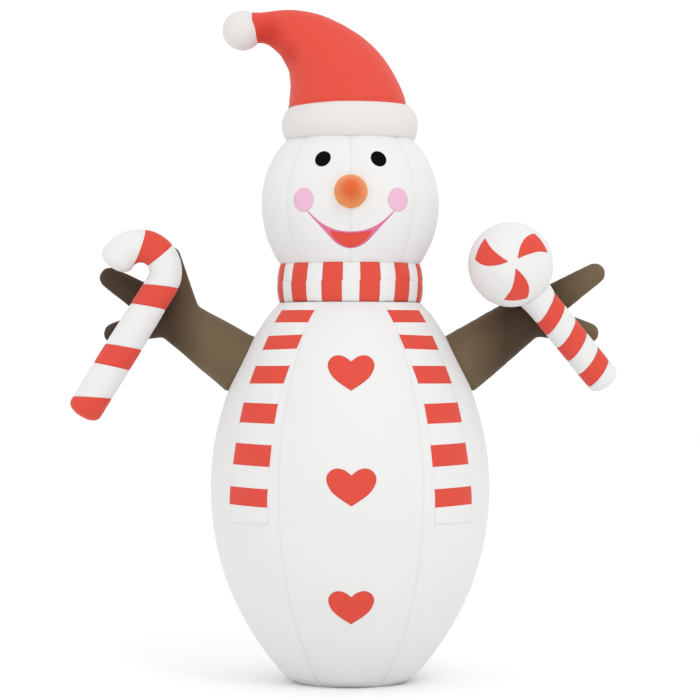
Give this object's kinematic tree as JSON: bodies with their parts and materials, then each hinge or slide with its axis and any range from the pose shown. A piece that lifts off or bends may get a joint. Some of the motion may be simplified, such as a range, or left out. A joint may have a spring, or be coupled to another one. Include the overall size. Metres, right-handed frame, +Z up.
{
  "type": "inflatable yard snowman",
  "caption": "Tall blown-up snowman with bent hat, striped scarf, hearts, two branch arms, candy cane and lollipop, blower at the back and zip.",
  "frame": {"origin": "centre of the flat base, on the body's axis", "axes": "+Z up along the body's axis, -Y is the way the face looks, +X is the lollipop's side"},
  "size_m": [4.2396, 2.2405, 5.3061],
  "materials": {
    "white_fabric": "matt woven polyester",
    "red_fabric": "matt woven polyester",
    "brown_fabric": "matt woven polyester",
    "orange_fabric": "matt woven polyester",
    "pink_fabric": "matt woven polyester",
    "black_fabric": "matt woven polyester",
    "plush_white": "short white plush",
    "black_plastic": "fine moulded texture",
    "dark_plastic": "satin",
    "motor_steel": "drawn steel can",
    "webbing": "ribbed polyester webbing",
    "black_webbing": "ribbed polyester webbing",
    "zip_nylon": "moulded nylon coil",
    "zip_metal": "painted die casting",
    "brass": "polished",
    "lamp_lens": "frosted diffuser"
  },
  "bodies": {
    "skin": {"body_gore_front": "white_fabric", "body_gore_front_right": "white_fabric", "body_gore_rear_right": "white_fabric", "body_gore_rear": "white_fabric", "body_gore_rear_left": "white_fabric", "body_gore_front_left": "white_fabric", "head_gore_face_right": "white_fabric", "head_gore_cheek_right": "white_fabric", "head_gore_back_right": "white_fabric", "head_gore_rear_right": "white_fabric", "head_gore_rear_left": "white_fabric", "head_gore_back_left": "white_fabric", "head_gore_cheek_left": "white_fabric", "head_gore_face_left": "white_fabric", "base_disc": "white_fabric", "collar_red_panels": "red_fabric", "collar_white_panels": "white_fabric", "scarf_tail_right_red": "red_fabric", "scarf_tail_left_red": "red_fabric", "scarf_tail_right_white": "white_fabric", "scarf_tail_left_white": "white_fabric", "hat_band": "plush_white", "pompom": "plush_white", "hat_cone": "red_fabric", "eye_patches": "black_fabric", "cheek_patches": "pink_fabric", "mouth_patch": "pink_fabric", "mouth_inner_patch": "red_fabric", "nose_cone": "orange_fabric", "heart_patches": "red_fabric", "arm_left": "brown_fabric", "arm_right": "brown_fabric", "candy_cane_red_bands": "red_fabric", "candy_cane_white_tube": "white_fabric", "lollipop_ball": "white_fabric", "lollipop_petals": "red_fabric", "lollipop_stick_red_bands": "red_fabric", "lollipop_stick_white_tube": "white_fabric", "blower_housing": "black_plastic", "blower_inlet_grille": "black_plastic", "blower_outlet_guard": "black_plastic", "blower_motor": "motor_steel", "blower_motor_struts": "black_plastic", "lead_gland": "dark_plastic", "blower_cuff": "white_fabric", "cuff_strap": "black_webbing", "zip_placket": "white_fabric", "zip_chain": "zip_nylon", "stake_tabs": "webbing", "tether_tabs": "webbing", "stake_eyelets": "brass", "tether_eyelets": "brass", "lamp_strap": "webbing", "lamp_housings": "dark_plastic", "lamp_lenses": "lamp_lens", "ballast_bags": "black_webbing"},
    "impeller": {"blower_impeller": "dark_plastic"},
    "slider": {"zip_slider": "zip_metal"},
    "pull": {"zip_pull": "zip_metal"}
  },
  "joints": [
    {"name": "impeller_spin", "type": "hinge", "parent": "skin", "child": "impeller", "pos_m": [0, 0.9, 0.33], "axis": [0, -1, 0], "continuous": true},
    {"name": "zip_slide", "type": "slide", "parent": "skin", "child": "slider", "axis": [0, 0, 1], "range_m": [0, 0.412]},
    {"name": "pull_swing", "type": "hinge", "parent": "slider", "child": "pull", "pos_m": [0, 1.129, 1.349], "axis": [1, 0, 0], "range_deg": [0, 150]}
  ]
}
